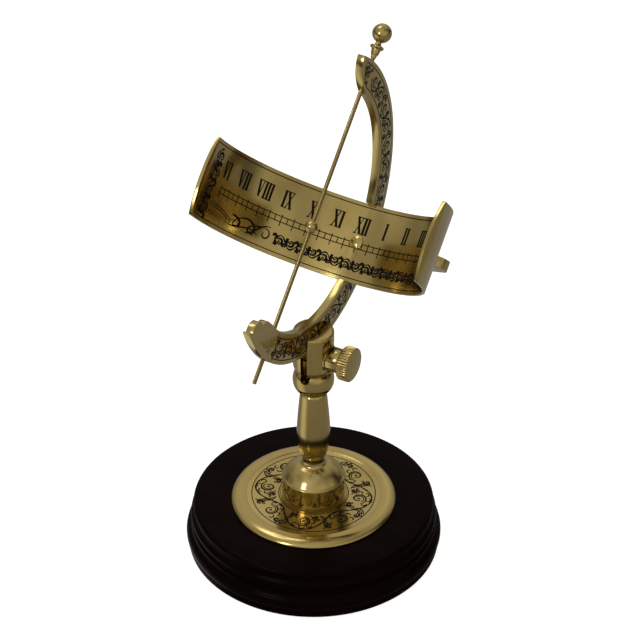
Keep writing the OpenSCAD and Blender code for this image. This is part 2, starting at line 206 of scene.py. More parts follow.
class Shader:
    """A node tree: one method adds any node, the others add the kinds used most."""

    def __init__(self, tree):
        self.tree = tree
        self.tree.nodes.clear()

    def node(self, kind, settings=None, sockets=None):
        """Adds a node, makes its settings and then fills or links its sockets."""
        node = self.tree.nodes.new(kind)
        for key, setting in (settings or {}).items():
            setattr(node, key, setting)
        for key, value in (sockets or {}).items():
            if isinstance(value, Value):
                self.tree.links.new(value.socket, node.inputs[key])
            elif isinstance(value, bpy.types.NodeSocket):
                self.tree.links.new(value, node.inputs[key])
            else:
                node.inputs[key].default_value = value
        return node

    def place(self):
        """Object coordinates, which the finished pieces share."""
        return self.node("ShaderNodeTexCoord").outputs["Object"]

    def stretched(self, vector, scale):
        """A vector scaled on each axis, which draws a pattern out along the small ones."""
        node = self.node("ShaderNodeMapping", {}, {"Vector": vector, "Scale": scale})
        return node.outputs[0]

    def noise(self, vector, scale, detail, roughness):
        node = self.node("ShaderNodeTexNoise", {}, {
            "Vector": vector, "Scale": scale, "Detail": detail, "Roughness": roughness})
        return Value(self, node.outputs["Fac"])

    def facing(self, vector, direction):
        """How far a vector points along a direction."""
        node = self.node("ShaderNodeVectorMath", {"operation": "DOT_PRODUCT"}, {
            0: vector, 1: direction})
        return Value(self, node.outputs["Value"])

    def ray(self, kind):
        """1 for one kind of ray and 0 for the others."""
        return Value(self, self.node("ShaderNodeLightPath").outputs[kind])

    def mix(self, factor, first, second):
        node = self.node("ShaderNodeMix", {"data_type": "RGBA"},
                         {0: factor, 6: first, 7: second})
        return node.outputs[2]

    def bump(self, strength, distance, height):
        node = self.node("ShaderNodeBump", {}, {
            "Strength": strength, "Distance": distance, "Height": height})
        return node.outputs[0]

    def surface(self, sockets):
        """Ends a material in a Principled shader with these sockets."""
        principled = self.node("ShaderNodeBsdfPrincipled", {}, sockets)
        self.node("ShaderNodeOutputMaterial", {}, {"Surface": principled.outputs[0]})


def colour(values):
    return (*values, 1.0)


def new_shader(name):
    material = bpy.data.materials.new(name)
    material.use_nodes = True
    return material, Shader(material.node_tree)


def make_brass(name, finish, wear, rings=False):
    """Lacquered brass with cloudy tarnish and wiping marks, and on turned pieces fine rings."""
    material, shader = new_shader(name)
    place = shader.place()
    cloud = shader.noise(place, scale=38.0, detail=4.0, roughness=0.6)
    fine = shader.noise(place, scale=420.0, detail=3.0, roughness=0.65)
    wiping = shader.noise(shader.stretched(place, (1.0, 1.0, 0.12)), scale=2600.0, detail=2.0,
                          roughness=0.7)
    tarnish = ((cloud - 0.52) * 4.0).clamp() * wear
    height = cloud * 0.6 + wiping * 0.04
    if rings:
        height += shader.noise(shader.stretched(place, (0.004, 0.004, 1.0)), scale=1500.0,
                               detail=1.0, roughness=0.5) * 9.0
    shader.surface({
        "Base Color": shader.mix(tarnish, colour(finish.brass), colour(finish.tarnish)),
        "Metallic": 1.0,
        "Roughness": 0.10 + fine * 0.07 + tarnish * 0.10 + wiping * 0.05,
        "Normal": shader.bump(strength=0.04, distance=0.0001, height=height),
        "Coat Weight": 0.08,
        "Coat Roughness": 0.06,
        "Coat IOR": 1.45})
    return material


def make_inlay(finish):
    """The dull black that fills the engraved lines."""
    material, shader = new_shader("engraving_black")
    grain = shader.noise(shader.place(), scale=900.0, detail=3.0, roughness=0.6)
    worn = (0.018, 0.013, 0.009, 1)
    shader.surface({
        "Base Color": shader.mix(grain * 0.6, colour(finish.inlay), worn),
        "Metallic": 0.0,
        "Roughness": 0.34 + grain * 0.2,
        "Specular IOR Level": 0.06})
    return material


def make_mahogany(finish):
    """Nearly black red mahogany with streaks and open pores along the x axis."""
    material, shader = new_shader("varnished_mahogany")
    place = shader.place()
    along = shader.stretched(place, (0.09, 1.0, 1.0))
    warp = shader.noise(along, scale=60.0, detail=2.0, roughness=0.5)
    streak = shader.noise(along, scale=330.0, detail=4.0, roughness=0.62)
    pores = shader.noise(shader.stretched(place, (0.05, 1.0, 1.0)), scale=2300.0, detail=2.0,
                         roughness=0.6)
    pore = ((pores - 0.60) * 8.0).clamp()
    tone = ((warp - 0.35) * 1.3 + (streak - 0.5) * 1.1).clamp()
    wood = shader.mix(tone, colour(finish.mahogany), colour(finish.mahogany_light))
    pore_black = (0.002, 0.001, 0.001, 1)
    relief = streak * 0.4 - pore * 0.7
    shader.surface({
        "Base Color": shader.mix(pore * 0.8, wood, pore_black),
        "Metallic": 0.0,
        "Roughness": 0.24 + streak * 0.08 + pore * 0.12,
        "Normal": shader.bump(strength=0.08, distance=0.0002, height=relief),
        "Specular IOR Level": 0.02})
    return material


def make_steel():
    """Plain turned steel of the hidden fixings."""
    material, shader = new_shader("turned_steel")
    grain = shader.noise(shader.place(), scale=900.0, detail=3.0, roughness=0.6)
    dark, pale = (0.36, 0.36, 0.37, 1), (0.50, 0.50, 0.51, 1)
    shader.surface({
        "Base Color": shader.mix(grain, dark, pale),
        "Metallic": 1.0,
        "Roughness": 0.28 + grain * 0.2})
    return material


def make_felt(finish):
    """Short pressed fibres of the pad."""
    material, shader = new_shader("green_felt")
    place = shader.place()
    fibre = shader.noise(place, scale=1400.0, detail=5.0, roughness=0.75)
    cloud = shader.noise(place, scale=90.0, detail=3.0, roughness=0.5)
    light = tuple(min(1.0, c * 2.2 + 0.01) for c in finish.felt)
    tuft = (fibre * 0.7 + cloud * 0.4 - 0.15).clamp()
    shader.surface({
        "Base Color": shader.mix(tuft, colour(finish.felt), colour(light)),
        "Roughness": 0.95,
        "Normal": shader.bump(strength=0.6, distance=0.0004, height=fibre),
        "Sheen Weight": 0.3})
    return material


materials = {}


def finishes():
    """The shared materials, made once."""
    if not materials:
        finish = bpy.context.scene.sundial_finish
        materials["brass"] = make_brass("lacquered_brass", finish, wear=0.45)
        materials["turned"] = make_brass("turned_brass", finish, wear=0.45, rings=True)
        materials["screw"] = make_brass("screw_brass", finish, wear=0.8)
        materials["inlay"] = make_inlay(finish)
        materials["mahogany"] = make_mahogany(finish)
        materials["steel"] = make_steel()
        materials["felt"] = make_felt(finish)
    return materials


# Modelling helpers


def select_only(*objects):
    bpy.ops.object.select_all(action="DESELECT")
    for obj in objects:
        obj.select_set(True)
    bpy.context.view_layer.objects.active = objects[-1]


def settle(obj, matrix):
    """Puts the object at a place and moves that place into its mesh."""
    select_only(obj)
    obj.matrix_world = matrix @ obj.matrix_world
    bpy.ops.object.transform_apply(location=True, rotation=True, scale=True)


def aimed(place, aim):
    """The turn that points a lamp or a camera from its place at its aim."""
    return (Vector(aim) - Vector(place)).to_track_quat("-Z", "Y").to_euler()


def apply_modifier(obj, kind, **settings):
    select_only(obj)
    bpy.ops.object.modifier_add(type=kind)
    modifier = obj.modifiers[-1]
    for key, value in settings.items():
        setattr(modifier, key, value)
    bpy.ops.object.modifier_apply(modifier=modifier.name)


def set_material(obj, name):
    obj.data.materials.clear()
    obj.data.materials.append(finishes()[name])


def copy_node(node):
    """Copies a solid, joins its triangles and leaves the copy in edit mode."""
    select_only(frame["nodes"][node])
    bpy.ops.object.duplicate()
    obj = bpy.context.object
    obj.name = node + "_finish"
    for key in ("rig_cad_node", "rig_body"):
        if key in obj:
            del obj[key]
    bpy.ops.object.parent_clear(type="CLEAR_KEEP_TRANSFORM")
    bpy.ops.object.mode_set(mode="EDIT")
    bpy.ops.mesh.select_all(action="SELECT")
    bpy.ops.mesh.remove_doubles(threshold=2e-7)
    return obj


def bevel_edges(obj, width, segments=3, angle=40):
    """Eases by a width in millimetres the edges that are sharper than an angle in degrees."""
    apply_modifier(obj, "BEVEL", width=width * MM, segments=segments, limit_method="ANGLE",
                   angle_limit=math.radians(angle), harden_normals=False)


def stand_for(obj, node, body, material, angle):
    """Gives a finished piece its shading and its material, sets it on its body and hides the node
    that it stands for.
    """
    select_only(obj)
    bpy.ops.object.shade_smooth_by_angle(angle=math.radians(angle))
    set_material(obj, material)
    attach(obj, body)
    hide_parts(node)


def finish_node(node, body, material, bevel=0.0):
    """Copies a solid and gives it smooth shading and, if asked, eased edges."""
    obj = copy_node(node)
    bpy.ops.mesh.normals_make_consistent(inside=False)
    if bevel:
        bpy.ops.mesh.dissolve_limited(angle_limit=math.radians(0.4))
    bpy.ops.object.mode_set(mode="OBJECT")
    if bevel:
        bevel_edges(obj, bevel)
    stand_for(obj, node, body, material, angle=32)


def spin_round(steps):
    """Spins the section in edit mode once about the z axis and closes the seam."""
    bpy.ops.mesh.select_all(action="SELECT")
    bpy.ops.mesh.spin(steps=steps, angle=TAU, center=(0, 0, 0), axis=(0, 0, 1))
    bpy.ops.mesh.select_all(action="SELECT")
    bpy.ops.mesh.remove_doubles(threshold=2e-6)
    bpy.ops.mesh.normals_make_consistent(inside=False)
    bpy.ops.object.mode_set(mode="OBJECT")


def turned_node(node, body, material, place=None, bevel=0.0, steps=160):
    """Turns a round solid anew: its section at 45 degrees is spun about its own axis."""
    obj = copy_node(node)
    bpy.ops.object.mode_set(mode="OBJECT")
    if place is not None:
        settle(obj, place.inverted())
    side = Vector((1, 1, 0)).normalized()
    across = Vector((-1, 1, 0)).normalized()
    bpy.ops.object.mode_set(mode="EDIT")
    for normal, both in ((side, False), (across, True)):
        bpy.ops.mesh.select_all(action="SELECT")
        bpy.ops.mesh.bisect(plane_co=(0, 0, 0), plane_no=normal, clear_inner=True,
                            clear_outer=both, threshold=1e-7)
    bpy.ops.mesh.select_all(action="SELECT")
    bpy.ops.mesh.remove_doubles(threshold=2e-6)
    bpy.ops.mesh.dissolve_limited(angle_limit=math.radians(1.0))
    spin_round(steps)
    if place is not None:
        settle(obj, place)
    if bevel:
        bevel_edges(obj, bevel, segments=2)
    stand_for(obj, node, body, material, angle=30)


def draw_curve(name, runs):
    """Adds a curve with a spline for each run of points: x, y, z in millimetres and radius."""
    bpy.ops.object.select_all(action="DESELECT")
    bpy.ops.curve.primitive_bezier_curve_add(location=(0, 0, 0))
    obj = bpy.context.object
    obj.name = name
    obj.data.splines.clear()
    obj.data.dimensions = "3D"
    for run in runs:
        spline = obj.data.splines.new("POLY")
        spline.points.add(len(run) - 1)
        for point, (x, y, z, radius) in zip(spline.points, run):
            point.co = (x * MM, y * MM, z * MM, 1)
            point.radius = radius
    return obj


def to_mesh(obj):
    select_only(obj)
    bpy.ops.object.convert(target="MESH")
    return bpy.context.object


def lathe(name, profile, steps):
    """Spins a profile of (radius, height) millimetres about the z axis."""
    obj = to_mesh(draw_curve(name, [[(radius, 0, height, 1) for radius, height in profile]]))
    bpy.ops.object.mode_set(mode="EDIT")
    spin_round(steps)
    return obj


def rounded(start, pull, end, count):
    """Points of a quadratic curve, for the rounded parts of a profile."""
    return [tuple((1 - t) ** 2 * p + 2 * t * (1 - t) * q + t * t * r
                  for p, q, r in zip(start, pull, end))
            for t in (i / count for i in range(count + 1))]


def cylinder(radius, length, place, turn_to, vertices):
    """A plain cutter: radius and length in millimetres, place in metres."""
    bpy.ops.mesh.primitive_cylinder_add(vertices=vertices, radius=radius * MM,
                                        depth=length * MM, location=place, rotation=turn_to)
    return bpy.context.object


def cut_away(obj, cutters):
    for cutter in cutters:
        apply_modifier(obj, "BOOLEAN", operation="DIFFERENCE", object=cutter, solver="EXACT")
        select_only(cutter)
        bpy.ops.object.delete()


# Drawing of engraved strokes: points are (x, y, half width) in millimetres


def polar(centre, reach, angle):
    return centre[0] + reach * math.cos(angle), centre[1] + reach * math.sin(angle)


def taper(points, wide, narrow=0.07, skew=1.0):
    """A stroke that swells from narrow to wide and back; a skew under 1 swells it sooner."""
    last = len(points) - 1
    return [(x, y, narrow + (wide - narrow) * math.sin(math.pi * (i / last) ** skew))
            for i, (x, y) in enumerate(points)]


def even(points, half):
    return [(x, y, half) for x, y in points]


def line(start, end, step=1.4):
    length = math.dist(start, end)
    count = max(1, math.ceil(length / step))
    return [(start[0] + (end[0] - start[0]) * i / count,
             start[1] + (end[1] - start[1]) * i / count) for i in range(count + 1)]


def arc(centre, radius, start, end, count, end_radius=None):
    """Points of an arc, or of a spiral where the radius at its end is another one."""
    stop = radius if end_radius is None else end_radius
    return [polar(centre, radius + (stop - radius) * t, start + (end - start) * t)
            for t in (i / count for i in range(count + 1))]


def curve(a, b, c, d, count):
    """Points of a cubic curve from a to d."""
    points = []
    for i in range(count + 1):
        t = i / count
        u = 1 - t
        points.append(tuple(u ** 3 * p + 3 * u * u * t * q + 3 * u * t * t * r + t ** 3 * s
                            for p, q, r, s in zip(a, b, c, d)))
    return points


def lobe(root, angle, length, width, bend, half):
    """A comma-shaped leaf lobe: a full back, a hollow front and a vein."""
    side = 1 if bend > 0 else -1

    def at(along, across):
        swing = angle + bend * along
        return (root[0] + length * along * math.cos(swing) - across * math.sin(swing),
                root[1] + length * along * math.sin(swing) + across * math.cos(swing))

    def edge(bulge, skew=1, first=0, last=8):
        """An edge in eighths of the length, bulged by a share of the width."""
        return [at(t, -side * bulge * width * math.sin(math.pi * t ** skew))
                for t in (i / 8 for i in range(first, last + 1))]

    back, front, vein = edge(1, 0.75), edge(-0.45), edge(0.2, first=1, last=5)
    return [taper(back, half * 1.5, half * 0.6), taper(front, half, half * 0.4),
            taper(vein, half * 0.8)]


def scroll(centre, size, start, hand, half, lobes):
    """An open scroll: a ribbon curled round a bud, with a scalloped leaf on its back."""
    ribbon = arc(centre, size, start, start + hand * TAU * 1.08, 32, size * 0.34)
    hem = arc(centre, size * 0.70, start + hand * 0.2, start + hand * TAU * 0.62, 20,
              size * 0.40)
    bud = arc(centre, size * 0.12, 0, TAU, 8)
    strokes = [taper(ribbon, half * 1.7, half * 0.8, 0.8), taper(hem, half * 1.1, half * 0.6),
               even(bud, half)]
    for k in range(lobes):
        swing = start + hand * (0.35 + 0.74 * k)
        spot = polar(centre, size * (1.20 - 0.03 * k), swing)
        scallop = arc(spot, size * 0.28, swing - hand * 2.3, swing + hand * 1.3, 12)
        strokes.append(taper(scallop, half * 1.3, half * 0.7))
    return strokes


def scroll_strip(length, half, waves, line_half, lobes):
    """A running acanthus: scrolls of alternate hand hung on a waving stem, with leaves."""
    step = length / waves
    size = min(half * 0.66, step * 0.34)
    per_wave = 14
    count = waves * per_wave
    stem = [(length * i / count, half * 0.86 * math.sin(math.pi * i / per_wave))
            for i in range(count + 1)]
    strokes = [[(x, y, line_half * (1.5 + 0.4 * math.sin(x * 1.3))) for x, y in stem]]
    for k in range(waves):
        sign = 1 if k % 2 == 0 else -1
        strokes += scroll(((k + 0.5) * step, -sign * half * 0.18), size,
                          sign * (QUARTER + 1.1), -sign, line_half, lobes)
        for way in (1, -1):
            strokes += scroll((k * step - way * sign * step * 0.13, way * half * 0.60),
                              half * 0.28, -way * 0.6, way * sign, line_half * 0.9, 3)
            strokes += lobe((k * step, way * half * 0.06), way * sign * 0.72, half * 0.92,
                            half * 0.21, way * sign * 0.9, line_half)
    return strokes


def pen_loops(length, height, loops, half):
    """A penman's flourish: a row of slanting loops drawn thick and thin."""
    overlap, slant, fade = 0.42, 0.25, 0.35
    count = loops * 20
    points = []
    for i in range(count + 1):
        t = i / count
        swing = TAU * loops * t
        x = length * t + length / loops * overlap * math.sin(swing)
        y = height * (1 - fade * abs(2 * t - 1)) * math.cos(swing)
        weight = 0.42 + 0.58 * abs(math.sin(swing / 2 + 0.5))
        points.append((x + slant * y, y, half * weight))
    return [points]


def inside(strokes, half):
    """Keeps a strip's strokes within its two borders."""
    return [[(x, max(-half, min(half, y)), w) for x, y, w in stroke] for stroke in strokes]


def wrap_ring(strokes, radius, start):
    """Lays a strip drawn along x round a circle: y points away from the centre."""
    return [[(*polar((0, 0), radius + y, start + x / radius), w) for x, y, w in stroke]
            for stroke in strokes]


def shift(strokes, dx, dy):
    return [[(x + dx, y + dy, w) for x, y, w in stroke] for stroke in strokes]


def turn(strokes, angle):
    c, s = math.cos(angle), math.sin(angle)
    return [[(x * c - y * s, x * s + y * c, w) for x, y, w in stroke] for stroke in strokes]


def mirror_x(strokes):
    return [[(-x, y, w) for x, y, w in stroke] for stroke in strokes]


def engrave(name, strokes, lift=0.03, flat=0.14):
    """Makes the strokes black inlays with their middles lift millimetres over z = 0.

    An inlay stands as high over its middle as flat times its half width.
    """
    obj = draw_curve(name, [[(x, y, 0, half) for x, y, half in stroke] for stroke in strokes])
    obj.data.twist_mode = "Z_UP"
    obj.data.bevel_depth = MM
    obj.data.bevel_resolution = 0
    obj.data.use_fill_caps = True
    obj = to_mesh(obj)
    obj.scale = (1, 1, flat)
    bpy.ops.object.transform_apply(location=False, rotation=False, scale=True)
    obj.location = (0, 0, lift * MM)
    bpy.ops.object.transform_apply(location=True, rotation=False, scale=False)
    set_material(obj, "inlay")
    return obj


def bend_to_band(obj, length):
    """Bends a flat drawing, x along the band, onto the band's inner face."""
    settle(obj, Matrix.Rotation(QUARTER, 4, "X"))
    apply_modifier(obj, "SIMPLE_DEFORM", deform_method="BEND", deform_axis="Z",
                   angle=-length / BAND_RADIUS)
    settle(obj, DIAL @ Matrix.Translation((0, BAND_RADIUS * MM, 0)))


def ride_inlay(obj, body):
    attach(obj, body)


# Numerals


def numeral(text, height, stem, hair):
    """A condensed Roman numeral whose serifs run together, centred on the origin."""
    widths = {"I": 2.1, "V": 4.6, "X": 4.6}
    margin, lean, serif = 0.1, 1.45, 1.05
    x = -sum(widths[c] for c in text) / 2
    top = height / 2
    strokes = [even(line((x + margin, top), (-x - margin, top), 1.0), hair)]
    for c in text:
        middle = x + widths[c] / 2
        left, right = middle - lean, middle + lean
        if c == "I":
            strokes.append(even(line((middle, -top), (middle, top)), stem))
            feet = [middle]
        elif c == "V":
            strokes.append(even(line((left, top), (middle, -top)), stem))
            strokes.append(even(line((right, top), (middle, -top)), hair))
            feet = []
        else:
            strokes.append(even(line((left, top), (right, -top)), stem))
            strokes.append(even(line((right, top), (left, -top)), hair))
            feet = [left, right]
        for foot in feet:
            strokes.append(even(line((foot - serif, -top), (foot + serif, -top), 0.7), hair))
        x += widths[c]
    return strokes


# Operators


class SUNDIAL_OT_stage(bpy.types.Operator):
    """Adds the floor, the lamps, the surroundings and the camera"""

    bl_idname = "sundial.stage"
    bl_label = "Stage"

    def execute(self, context):
        scene = context.scene
        scene.view_settings.view_transform = "Standard"
        self.floor()
        self.surroundings(scene)
        self.lamp("window", place=(-0.30, -1.45, 1.05), aim=(0, 0, 0.14), width=0.30,
                  height=0.46, power=4.4)
        self.lamp("roof_window", place=(-0.75, 0.35, 1.75), aim=(0, 0, 0.18), width=0.8,
                  height=0.5, power=3.0)
        self.camera(scene)
        return {"FINISHED"}

    def floor(self):
        """A matt floor that is white to the camera and, in reflections only, glows along one
        strip: a painted reflection of light.
        """
        bpy.ops.object.select_all(action="DESELECT")
        bpy.ops.mesh.primitive_circle_add(vertices=96, radius=3.0, fill_type="NGON",
                                          location=(0, 0, -0.0002))
        floor = bpy.context.object
        floor.name = "studio_floor"
        material, shader = new_shader("pale_floor")
        away = shader.node("ShaderNodeVectorMath", {"operation": "NORMALIZE"}, {
            0: shader.place()}).outputs[0]
        # Painted reflection: a strip of the floor glows only for glossy rays, so the brass mirrors
        # a bright streak where there is no lamp
        strip_way, strip_edge, strip_gain = (-0.72, -0.69, 0), 0.86, 7.0
        strip = ((shader.facing(away, strip_way) - strip_edge) * strip_gain).clamp()
        seen = shader.ray("Is Camera Ray") * 0.90
        painted_reflection = shader.ray("Is Glossy Ray") * (strip * 0.62)
        glow = shader.node("ShaderNodeEmission", {}, {
            "Color": (1, 0.98, 0.95, 1), "Strength": seen + painted_reflection})
        matt = shader.node("ShaderNodeBsdfDiffuse", {}, {"Color": (0.48, 0.48, 0.48, 1)})
        both = shader.node("ShaderNodeAddShader", {}, {0: matt.outputs[0], 1: glow.outputs[0]})
        shader.node("ShaderNodeOutputMaterial", {}, {"Surface": both.outputs[0]})
        floor.data.materials.append(material)

    def surroundings(self, scene):
        """A dim room with three paler patches, in place of which the camera sees white."""
        world = bpy.data.worlds.new("studio")
        world.use_nodes = True
        scene.world = world
        shader = Shader(world.node_tree)
        way = shader.node("ShaderNodeTexCoord").outputs["Generated"]
        level = 0.05 + (shader.noise(way, scale=2.2, detail=1.0, roughness=0.4) - 0.5) * 0.7
        patches = (((0.70, -0.50, 0.50), 0.35, 0.52),
                   ((-0.40, -0.50, 0.77), 0.50, 0.44),
                   ((-0.35, 0.74, 0.58), 0.40, 0.58))
        for middle, edge, gain in patches:
            near = shader.facing(way, Vector(middle).normalized())
            level += ((near - edge) * (1 / (1 - edge))).clamp() * gain
        dark, pale, white = (0.045, 0.040, 0.035, 1), (1.0, 0.97, 0.92, 1), (1, 1, 1, 1)
        room = shader.mix(level.clamp(), dark, pale)
        shown = shader.mix(shader.ray("Is Camera Ray"), room, white)
        ground = shader.node("ShaderNodeBackground", {}, {"Color": shown, "Strength": 1.0})
        shader.node("ShaderNodeOutputWorld", {}, {"Surface": ground.outputs[0]})

    def lamp(self, name, place, aim, width, height, power):
        bpy.ops.object.light_add(type="AREA", location=place, rotation=aimed(place, aim))
        lamp = bpy.context.object
        lamp.name = name
        lamp.data.shape = "RECTANGLE"
        lamp.data.size = width
        lamp.data.size_y = height
        lamp.data.energy = power

    def camera(self, scene):
        bpy.ops.object.camera_add(location=CAMERA_PLACE,
                                  rotation=aimed(CAMERA_PLACE, CAMERA_AIM))
        camera = bpy.context.object
        camera.name = "photo_camera"
        camera.data.lens = CAMERA_LENS
        camera.data.sensor_width = 36
        camera.data.clip_start = 0.05
        scene.camera = camera


class SUNDIAL_OT_base(bpy.types.Operator):
    """Finishes the turned wooden base, its felt pad and the hidden fixings"""

    bl_idname = "sundial.base"
    bl_label = "Wooden base"

    def execute(self, context):
        turned_node("wooden_base", "stand", "mahogany", bevel=0.25)
        turned_node("felt_pad", "stand", "felt", bevel=0.3)
        for node in ("plate_dowels", "tie_stud", "stud_washer", "stud_nut"):
            finish_node(node, "stand", "steel")
        return {"FINISHED"}


class SUNDIAL_OT_plate(bpy.types.Operator):
    """Finishes the brass plate and engraves its ring of scrolls"""

    bl_idname = "sundial.plate"
    bl_label = "Base plate"

    def execute(self, context):
        self.plate()
        border = context.scene.sundial_sizes.border_line
        outer, inner = 36.2, 20.4
        middle, half = (outer + inner) / 2, (outer - inner) / 2
        strokes = [even(arc((0, 0), outer, 0, TAU, 160), border),
                   even(arc((0, 0), inner, 0, TAU, 120), border),
                   even(arc((0, 0), inner - 1.0, 0, TAU, 120), border * 0.6)]
        strip = scroll_strip(TAU * middle, half - 0.5, waves=8, line_half=0.32, lobes=5)
        strokes += wrap_ring(inside(strip, half - 0.4), middle, math.radians(-97))
        obj = engrave("plate_engraving", strokes)
        settle(obj, Matrix.Translation((0, 0, PLATE_TOP)))
        ride_inlay(obj, "stand")
        return {"FINISHED"}

    def plate(self):
        """The flat field inside a low step and a rounded rim."""
        field = PLATE_TOP / MM
        under, rim = field - 3.3, field + 0.35
        bore, edge, ease = 4.3, 48.4, 0.4
        profile = [(bore, under), (edge - ease, under), (edge, under + ease)]
        profile += rounded((edge, under + 0.8), (47.0, rim - 0.1), (41.6, rim), 12)
        profile += rounded((40.2, rim), (39.7, rim), (39.5, field + 0.12), 4)
        profile += [(39.2, field), (bore, field), (bore, under)]
        stand_for(lathe("base_plate_finish", profile, 192), "base_plate", "stand", "turned",
                  angle=34)


class SUNDIAL_OT_column(bpy.types.Operator):
    """Finishes the column and the slotted yoke with its clamp"""

    bl_idname = "sundial.column"
    bl_label = "Column and clamp"

    def execute(self, context):
        turned_node("column_foot", "stand", "turned")
        turned_node("column_stem", "stand", "turned")
        self.yoke()
        finish_node("clamp_collar", "stand", "screw", bevel=0.15)
        finish_node("clamp_shank", "clamp", "screw")
        self.knob()
        return {"FINISHED"}

    def yoke(self):
        """The round head over its bead, slotted for the bow and spot-faced for the knob."""
        joint, head, bead, crease = YOKE_JOINT, YOKE_HEAD_R, YOKE_BEAD_R, YOKE_CREASE
        peg, peg_length, seat, bulge, ease = 4, 14, 7.4, 4.3, 1.6
        bead_gap = 1.2
        middle, half = (joint + bead_gap + crease) / 2, (crease - joint - bead_gap) / 2
        profile = [(0, joint - peg_length), (peg, joint - peg_length), (peg, joint),
                   (seat, joint), (seat, joint + 0.5)]
        profile += [(bead - bulge * (1 - math.cos(math.radians(a))),
                     middle + half * math.sin(math.radians(a))) for a in range(-80, 81, 10)]
        profile += rounded((head - 2, crease), (head, crease + 0.8), (head, crease + 5.4), 8)
        profile += rounded((head, YOKE_TOP - ease), (head, YOKE_TOP), (head - ease, YOKE_TOP), 5)
        profile.append((0, YOKE_TOP))
        yoke = lathe("yoke_finish", profile, 160)
        cut_away(yoke, self.yoke_cutters())
        bevel_edges(yoke, 0.22, segments=2)
        stand_for(yoke, "yoke", "stand", "turned", angle=30)

    def yoke_cutters(self):
        """The slot, the round relief at its floor, the knob's spot face and the clamp's bore."""
        slot_width = 2 * (BOW_FACE / MM + SLOT_PLAY)
        through, slot_height, spot_length = 60, 40, 20
        relief_z = SLOT_FLOOR + RELIEF_R
        bpy.ops.mesh.primitive_cube_add(
            size=1, location=(0, 0, (relief_z + slot_height / 2) * MM),
            scale=(slot_width * MM, through * MM, slot_height * MM))
        slot = bpy.context.object
        along_x, along_y = (0, QUARTER, 0), (QUARTER, 0, 0)
        relief = cylinder(RELIEF_R, through, (0, 0, relief_z * MM), along_y, 64)
        spot = cylinder(SPOT_R, spot_length, ((SPOT_FACE + spot_length / 2) * MM, 0, CLAMP.z),
                        along_x, 96)
        bore = cylinder(CLAMP_BORE_R, through, (0, 0, CLAMP.z), along_x, 96)
        return slot, relief, spot, bore

    def knob(self):
        """A polished neck, a groove and a grip of fine straight ribs."""
        start, neck, grip, ease = KNOB_START, KNOB_NECK_R, KNOB_GRIP_R, 0.3
        groove = neck - 0.9
        neck_end, grip_start, grip_end = start + 7.4, start + 8, start + 13.9
        face, crown = start + 15.2, start + 15.7
        profile = [(0, start), (neck - ease, start), (neck, start + ease), (neck, start + 7.1),
                   (neck - ease, neck_end), (groove, neck_end), (groove, grip_start),
                   (grip - 0.9, grip_start), (grip, start + 8.8), (grip, grip_end)]
        profile += rounded((grip, grip_end), (grip, start + 15.1), (grip - 1.4, face), 4)[1:]
        profile += rounded((grip - 1.5, face), (grip / 2, crown), (0, crown), 8)
        per_rib = 4
        knob = lathe("clamp_knob_finish", profile, RIBS * per_rib)
        for vertex in knob.data.vertices:
            step = round(math.atan2(vertex.co.y, vertex.co.x) / TAU * RIBS * per_rib) % per_rib
            vertex.select = step > 1 and vertex.co.xy.length > (grip - 0.5) * MM
        for part in (*knob.data.edges, *knob.data.polygons):
            part.select = False
        hollow = 0.952
        bpy.ops.object.mode_set(mode="EDIT")
        bpy.ops.mesh.select_mode(type="VERT")
        bpy.ops.transform.resize(value=(hollow, hollow, 1), center_override=(0, 0, 0))
        bpy.ops.object.mode_set(mode="OBJECT")
        settle(knob, Matrix.Translation(CLAMP) @ Matrix.Rotation(QUARTER, 4, "Y"))
        bevel_edges(knob, 0.12, segments=1, angle=35)
        stand_for(knob, "clamp_knob", "clamp", "brass", angle=28)


class SUNDIAL_OT_bow(bpy.types.Operator):
    """Finishes the meridian bow and the cross arm and engraves the bow's two faces"""

    bl_idname = "sundial.bow"
    bl_label = "Meridian bow"

    def execute(self, context):
        finish_node("meridian_bow", "dial", "brass", bevel=0.3)
        finish_node("cross_arm", "dial", "brass", bevel=0.35)
        drawing = self.panel(context.scene.sundial_sizes.border_line)
        self.engrave_face("bow_engraving_east", drawing, 1)
        self.engrave_face("bow_engraving_west", mirror_x(drawing), -1)
        return {"FINISHED"}

    def engrave_face(self, name, drawing, side):
        """Engraves the face towards +x or -x, with the inlays' lower halves in the metal."""
        obj = engrave(name, drawing, lift=0.0, flat=0.12)
        settle(obj, DIAL @ Matrix(((0, 0, side, side * BOW_FACE), (side, 0, 0, 0),
                                   (0, 1, 0, 0), (0, 0, 0, 1))))
        ride_inlay(obj, "dial")

    def panel(self, border):
        """The border, the strip of scrolls and the tip's own scroll and leaves.

        x points towards XII and y along the gnomon.
        """
        inner, outer = BOW_INNER + 3.4, BOW_OUTER - 2.7
        middle, half = (inner + outer) / 2, (outer - inner) / 2
        room, line_half = half - 0.4, 0.31
        low, high = math.radians(-85.6), math.radians(87.6)
        tip = (-10.7, 84.9)
        outer_edge = arc((0, 0), outer, math.radians(-85.9), math.radians(97), 160)
        inner_edge = arc((0, 0), inner, math.radians(-86.6), math.radians(86), 150)
        tip_edge = curve((5.2, 73.8), (-3.4, 73.4), (-8.0, 77.6), tip, 16)
        foot_edge = line((4.2, -71.6), (6.2, -87.6))
        strokes = [even(edge, border * 1.2) for edge in (outer_edge, inner_edge, tip_edge)]
        strokes.append(even(foot_edge, border * 1.3))
        strip = scroll_strip(middle * (high - low), room, 18, line_half, 4)
        strokes += wrap_ring(inside(strip, room), middle, low)
        strokes += scroll((-3.2, 79.9), 2.8, math.radians(250), -1, line_half, 5)
        leaves = (((-6.0, 78.9), 118, 4.6), ((-6.6, 81.4), 140, 4.2), ((-3.4, 84.0), 176, 5.2),
                  ((2.2, 84.2), 184, 4.6), ((0.2, 75.4), 164, 4.8))
        for root, angle, length in leaves:
            strokes += lobe(root, math.radians(angle), length, 1.0, 0.4, 0.30)
        return strokes


